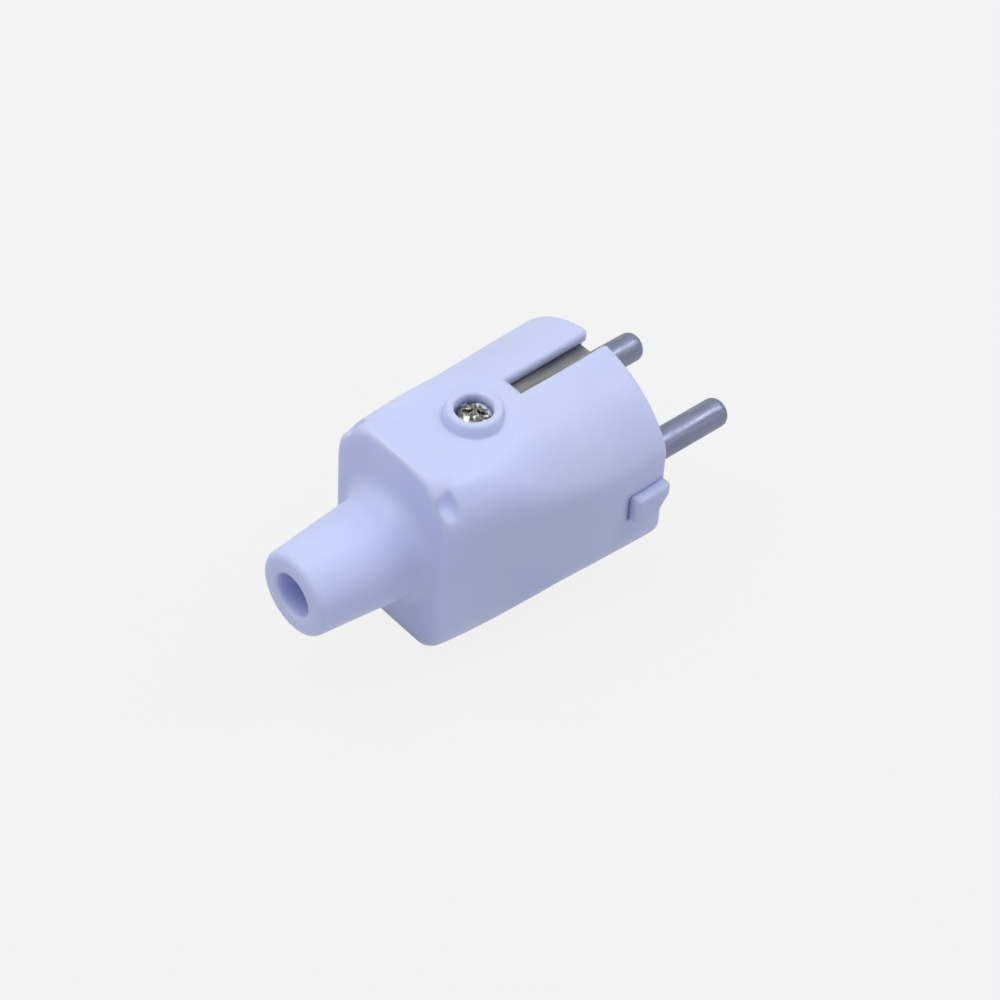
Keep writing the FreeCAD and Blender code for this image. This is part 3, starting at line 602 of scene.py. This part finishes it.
class PLUG_OT_cover(bpy.types.Operator):
    """Moulds the cover with soft ledges at its rear corners and gives it its satin white plastic"""
    bl_idname = "plug.cover"
    bl_label = "Cover"

    def execute(self, context):
        colours, finishes = context.scene.plug_colours, context.scene.plug_finishes
        ledges = context.scene.plug_ledges
        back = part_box("outer_cover")[0].x + ledges.cone_length
        cover = merged_copy("outer_cover", "moulded_cover")
        for side in (-1, 1):
            self.close_pocket(cover, side, back, ledges)
            self.cut_ledge(cover, side, back, ledges)
        material = moulded_plastic(
            "cover_plastic", colours.cover, colours.cover_deep,
            finishes.plastic_roughness, finishes.plastic_grain, finishes.edge_softness,
        )
        apply_modifier(cover, "TRIANGULATE", quad_method="BEAUTY", min_vertices=5)
        settle(cover, Matrix(), material, "outer_cover")
        apply_modifier(cover, "WEIGHTED_NORMAL", keep_sharp=True, weight=80)
        return {"FINISHED"}

    def close_pocket(self, cover, side, back, ledges):
        """Fills the frame's square pocket with a block that carries on the cover's outline."""
        pick(cover)
        bpy.ops.object.duplicate()
        filler = bpy.context.object
        front, inner, floor = back + ledges.pocket_depth, ledges.pocket_inner, ledges.pocket_floor
        # How far the block reaches into the pocket's walls and floor
        touch = 0.05 * MM

        def lines_pocket(point):
            return point.x < front + touch and side * point.y > inner - touch and point.z > floor - touch

        bpy.ops.object.mode_set(mode="EDIT")
        select_points(filler, lambda point: not lines_pocket(point))
        bpy.ops.mesh.delete(type="VERT")
        bpy.ops.mesh.select_all(action="SELECT")
        bpy.ops.mesh.delete(type="EDGE_FACE")
        mesh = bmesh.from_edit_mesh(filler.data)
        for place in self.outline(side, back, ledges):
            mesh.verts.new(place)
        bmesh.update_edit_mesh(filler.data)
        bpy.ops.mesh.select_all(action="SELECT")
        bpy.ops.mesh.convex_hull()
        bpy.ops.mesh.normals_make_consistent(inside=False)
        for test, step in (
            (lambda point: point.x > front - touch, (touch, 0, 0)),
            (lambda point: side * point.y < inner + touch, (0, -side * touch, 0)),
            (lambda point: point.z < floor + touch, (0, 0, -touch)),
        ):
            select_points(filler, test)
            bpy.ops.transform.translate(value=step)
        bpy.ops.object.mode_set(mode="OBJECT")
        combine(cover, filler, "UNION")

    def outline(self, side, back, ledges):
        """Points of the cover's rounded corner over the pocket, its rear edge rounded too."""
        across = ledges.half_width - ledges.corner_radius
        up = math.sqrt((ledges.arch_radius - ledges.corner_radius) ** 2 - across ** 2)
        edge_turns = (0, 22.5, 45, 67.5, 90)
        corner_leans = range(30, 75, 3)
        for turn in map(math.radians, edge_turns):
            forward = ledges.rear_round * (1 - math.sin(turn))
            radius = ledges.corner_radius - ledges.rear_round * (1 - math.cos(turn))
            for lean in map(math.radians, corner_leans):
                y = across + radius * math.cos(lean)
                z = up + radius * math.sin(lean)
                if y > ledges.pocket_inner and z > ledges.pocket_floor:
                    yield back + forward, side * y, z

    def cut_ledge(self, cover, side, back, ledges):
        """Cuts the corner's ledge: drafted walls, and a floor that falls away outwards."""
        inner, floor = ledges.ledge_inner, ledges.ledge_floor
        # How far the block stands out behind, and its width and height, which reach past the corner
        behind, width, height = 3 * MM, 6 * MM, 8 * MM
        depth = ledges.ledge_depth + behind
        lean = height * math.tan(ledges.ledge_draft)
        fall = width * math.tan(ledges.ledge_fall)
        block = block_cutter(
            (depth, width, height),
            (back + ledges.ledge_depth - depth / 2, side * (inner + width / 2), floor + height / 2),
        )
        bpy.ops.object.mode_set(mode="EDIT")
        # The outer end of the floor, the top of the inner wall and the top of the front wall, each
        # picked by a place 1 mm inside the block
        for test, step in (
            (lambda point: point.z < floor + MM and side * point.y > inner + MM, (0, 0, -fall)),
            (lambda point: point.z > floor + MM and side * point.y < inner + MM, (0, -side * lean, 0)),
            (lambda point: point.z > floor + MM and point.x > back, (lean, 0, 0)),
        ):
            select_points(block, test)
            bpy.ops.transform.translate(value=step)
        bpy.ops.object.mode_set(mode="OBJECT")
        apply_modifier(block, "BEVEL", width=ledges.ledge_round, segments=5, limit_method="ANGLE")
        cut(cover, block)


class PLUG_OT_carrier(bpy.types.Operator):
    """Gives the pin carrier and the cord clamp bar a plastic a little rougher than the cover's"""
    bl_idname = "plug.carrier"
    bl_label = "Pin carrier"

    def execute(self, context):
        colours, finishes = context.scene.plug_colours, context.scene.plug_finishes
        material = moulded_plastic(
            "carrier_plastic", colours.carrier, darker(colours.carrier, 0.96),
            finishes.plastic_roughness + 0.06, finishes.plastic_grain * 1.5, finishes.edge_softness,
        )
        dress(material, "pin_carrier", "cord_clamp_bar")
        return {"FINISHED"}


class PLUG_OT_pins(bpy.types.Operator):
    """Gives the contact pins their turned and plated finish"""
    bl_idname = "plug.pins"
    bl_label = "Contact pins"

    def execute(self, context):
        colours, finishes = context.scene.plug_colours, context.scene.plug_finishes
        material = turned_nickel(
            "turned_nickel", colours.nickel, colours.nickel_dark,
            finishes.nickel_roughness, finishes.turning_pitch,
        )
        dress(material, "pin_left", "pin_right")
        return {"FINISHED"}


class PLUG_OT_earth(bpy.types.Operator):
    """Gives the earth strip, its washer and the cover's nut their finishes"""
    bl_idname = "plug.earth"
    bl_label = "Earth contacts"

    def execute(self, context):
        colours = context.scene.plug_colours
        dress(brushed_strip("brushed_strip", colours.strip, darker(colours.strip, 0.6)), "earth_strip")
        dress(
            plated_steel("zinc_plate_washer", colours.zinc, darker(colours.zinc, 0.75), 0.4),
            "earth_washer", "cover_nut",
        )
        return {"FINISHED"}


class PLUG_OT_cover_screw(bpy.types.Operator):
    """Models the domed cover screw with its cross recess and thread"""
    bl_idname = "plug.cover_screw"
    bl_label = "Cover screw"

    def execute(self, context):
        colours, screws = context.scene.plug_colours, context.scene.plug_screws
        low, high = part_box("cover_screw")
        height, edge = 1.8 * MM, 1.1 * MM
        seat = high.z - height
        head = screw_head("cover_screw_head", (high.x - low.x) / 2, edge, height - edge, screws.head_facets)
        self.cut_recess(head, height, screws)
        self.cut_ticks(head, height, screws)
        bevel_head(head, 0.05 * MM)
        piece = join("domed_cover_screw", [head, *thread_and_core("cover_screw", screws, seat - low.z)])
        # The plate colour is darkened to paint in the head's dark reflections, and the glint colour paints
        # in its highlights
        material = plated_steel(
            "bright_plate", colours.bright, darker(colours.bright, 0.8), 0.2, colours.painted_glint
        )
        place = Vector(((low.x + high.x) / 2, (low.y + high.y) / 2, seat))
        settle(piece, Matrix.Translation(place), material, "cover_screw")
        return {"FINISHED"}

    def cut_recess(self, head, height, screws):
        """Cuts two crossed wings, smaller at their floor, and a round pit where they meet."""
        depth = screws.recess_depth
        pit_radius, pit_floor = screws.recess_width * 0.95, height - depth * 1.05
        # How far the wings' cutters stand out above the head
        above = 0.4 * MM
        floor_share = 0.5
        for turn in (0, 90):
            cut(head, block_cutter(
                (screws.recess_length, screws.recess_width, depth + above),
                (0, 0, height - depth / 2 + above / 2),
                math.radians(turn) + screws.recess_turn, floor_share,
            ))
        cut(head, core("recess_point", pit_radius, pit_floor, 2 * height, 24))

    def cut_ticks(self, head, height, screws):
        """Cuts the four fine marks that stand between the wings."""
        width, tall = 0.16 * MM, 0.35 * MM
        far = screws.recess_width * 1.25
        # Height of the cutters' middle, a little under the top of the dome
        middle = height - 0.04 * MM
        for quarter in range(4):
            turn = math.radians(45 + 90 * quarter) + screws.recess_turn
            place = (far * math.cos(turn), far * math.sin(turn), middle)
            cut(head, block_cutter((screws.tick_length, width, tall), place, turn))


class PLUG_OT_slotted_screws(bpy.types.Operator):
    """Models the slotted screws of the terminals and of the cord clamp with their threads"""
    bl_idname = "plug.slotted_screws"
    bl_label = "Slotted screws"

    def execute(self, context):
        colours, screws = context.scene.plug_colours, context.scene.plug_screws
        material = plated_steel("zinc_plate", colours.zinc, darker(colours.zinc, 0.75), 0.3)
        for node, direction, radius, height in SLOTTED:
            self.model(screws, material, node, Vector(direction), radius * MM, height * MM)
        return {"FINISHED"}

    def model(self, screws, material, node, direction, radius, height):
        low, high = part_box(node)
        centre = (low + high) / 2
        half = abs((high - low).dot(direction)) / 2
        seat = centre + direction * (half - height)
        reach = 2 * half - height
        edge, dome = height * 0.82, height * 0.18
        head = screw_head(node + "_head", radius, edge, dome, screws.head_facets)
        cut(head, block_cutter((4 * radius, screws.slot_width, screws.slot_depth * 2), (0, 0, height)))
        bevel_head(head, 0.06 * MM)
        piece = join("slotted_" + node, [head, *thread_and_core(node, screws, reach)])
        settle(piece, along(seat, direction), material, node)


class PLUG_OT_studio(bpy.types.Operator):
    """Adds the pale floor, the soft light and the camera at the photo's angle"""
    bl_idname = "plug.studio"
    bl_label = "Studio"

    def execute(self, context):
        studio, colours = context.scene.plug_studio, context.scene.plug_colours
        context.scene.view_settings.view_transform = "Standard"
        self.world(context, studio, colours)
        self.floor(studio, colours)
        for name, place, long_side, short_side, power in SOFT_BOXES:
            self.area_light(name, place, long_side, short_side, getattr(studio, power))
        self.camera(context, studio)
        return {"FINISHED"}

    def seen_directly(self, tree):
        """1 on camera, glossy and transmission rays, and 0 on the others, which light the object."""
        path = tree.nodes.new("ShaderNodeLightPath")
        total = path.outputs["Is Camera Ray"]
        for name in ("Is Glossy Ray", "Is Transmission Ray"):
            node = tree.nodes.new("ShaderNodeMath")
            node.operation = "MAXIMUM"
            tree.links.new(total, node.inputs[0])
            tree.links.new(path.outputs[name], node.inputs[1])
            total = node.outputs[0]
        return total

    def world(self, context, studio, colours):
        """Even light from all round, and the pale background that the camera sees."""
        world = bpy.data.worlds.new("soft_room")
        context.scene.world = world
        world.use_nodes = True
        tree = world.node_tree
        tree.nodes.clear()
        output = tree.nodes.new("ShaderNodeOutputWorld")
        mix = tree.nodes.new("ShaderNodeMixShader")
        fill = tree.nodes.new("ShaderNodeBackground")
        fill.inputs["Color"].default_value = (*FILL_TONE, 1)
        fill.inputs["Strength"].default_value = studio.fill_strength
        shown = tree.nodes.new("ShaderNodeBackground")
        shown.inputs["Color"].default_value = (*colours.floor, 1)
        tree.links.new(self.seen_directly(tree), mix.inputs["Fac"])
        tree.links.new(fill.outputs["Background"], mix.inputs[1])
        tree.links.new(shown.outputs["Background"], mix.inputs[2])
        tree.links.new(mix.outputs["Shader"], output.inputs["Surface"])

    def floor(self, studio, colours):
        """A pale floor just under the plug, which keeps the plug's faint shadow."""
        start_fresh()
        gap = 0.02 * MM
        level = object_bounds()[0].z - gap
        bpy.ops.mesh.primitive_plane_add(size=studio.floor_size, location=(0, 0, level))
        floor = bpy.context.object
        floor.name = "pale_floor"
        bpy.ops.object.transform_apply(location=True)
        finish = Finish("pale_floor")
        finish.set("Roughness", 0.9)
        finish.set("Specular IOR Level", 0.1)
        tone = finish.tint(finish.noise(40 * MM), darker(colours.floor, 0.72), darker(colours.floor, 0.74))
        finish.finish(tone)
        tree = finish.tree
        glow = tree.nodes.new("ShaderNodeEmission")
        glow.inputs["Color"].default_value = (*colours.floor, 1)
        part = tree.nodes.new("ShaderNodeMath")
        part.operation = "MULTIPLY"
        part.inputs[1].default_value = studio.floor_glow
        tree.links.new(self.seen_directly(tree), part.inputs[0])
        mix = tree.nodes.new("ShaderNodeMixShader")
        tree.links.new(part.outputs[0], mix.inputs["Fac"])
        tree.links.new(finish.shader.outputs["BSDF"], mix.inputs[1])
        tree.links.new(glow.outputs["Emission"], mix.inputs[2])
        tree.links.new(mix.outputs["Shader"], tree.nodes["Material Output"].inputs["Surface"])
        floor.data.materials.append(finish.material)
        floor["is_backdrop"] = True

    def area_light(self, name, place, long_side, short_side, power):
        """A soft box that faces the origin, with its long side as upright as it can be."""
        start_fresh()
        bpy.ops.object.light_add(type="AREA", location=place)
        light = bpy.context.object
        light.name = name
        light.data.shape = "RECTANGLE"
        light.data.size = long_side
        light.data.size_y = short_side
        light.data.energy = power
        light.rotation_euler = (-light.location).to_track_quat("-Z", "X").to_euler()

    def camera(self, context, studio):
        """The camera turned and raised round the engagement face, rolled and then shifted."""
        turn, rise, roll = studio.azimuth, studio.elevation, studio.roll
        back = Vector((math.sin(turn) * math.cos(rise), -math.cos(turn) * math.cos(rise), math.sin(rise)))
        level = Vector((math.cos(turn), math.sin(turn), 0))
        upright = back.cross(level)
        right = math.cos(roll) * level + math.sin(roll) * upright
        up = math.cos(roll) * upright - math.sin(roll) * level
        start_fresh()
        bpy.ops.object.camera_add()
        camera = bpy.context.object
        camera.name = "photo_camera"
        camera.data.sensor_width = 36.0
        camera.data.lens = studio.lens
        camera.data.clip_start = 0.01
        camera.data.clip_end = 20.0
        place = back * studio.distance - right * studio.step_left - up * studio.step_down
        camera.matrix_world = Matrix.Translation(place) @ Matrix((right, up, back)).transposed().to_4x4()
        context.scene.camera = camera


class PLUG_PT_panel(bpy.types.Panel):
    bl_label = "Type F plug"
    bl_idname = "PLUG_PT_panel"
    bl_space_type = "VIEW_3D"
    bl_region_type = "UI"
    bl_category = "Plug"

    def draw(self, context):
        for operator in OPERATORS:
            self.layout.operator(operator.bl_idname)
        for name, group in GROUPS.items():
            box = self.layout.box()
            settings = getattr(context.scene, name)
            for setting in group.__annotations__:
                box.prop(settings, setting)


OPERATORS = (
    PLUG_OT_cover,
    PLUG_OT_carrier,
    PLUG_OT_pins,
    PLUG_OT_earth,
    PLUG_OT_cover_screw,
    PLUG_OT_slotted_screws,
    PLUG_OT_studio,
)
CLASSES = (*GROUPS.values(), *OPERATORS, PLUG_PT_panel)


def register():
    for entry in CLASSES:
        bpy.utils.register_class(entry)
    for name, group in GROUPS.items():
        setattr(bpy.types.Scene, name, PointerProperty(type=group))


def unregister():
    for name in GROUPS:
        delattr(bpy.types.Scene, name)
    for entry in reversed(CLASSES):
        bpy.utils.unregister_class(entry)


def main():
    register()
    for operator in OPERATORS:
        group, name = operator.bl_idname.split(".")
        getattr(getattr(bpy.ops, group), name)()


if __name__ == "__main__":
    main()
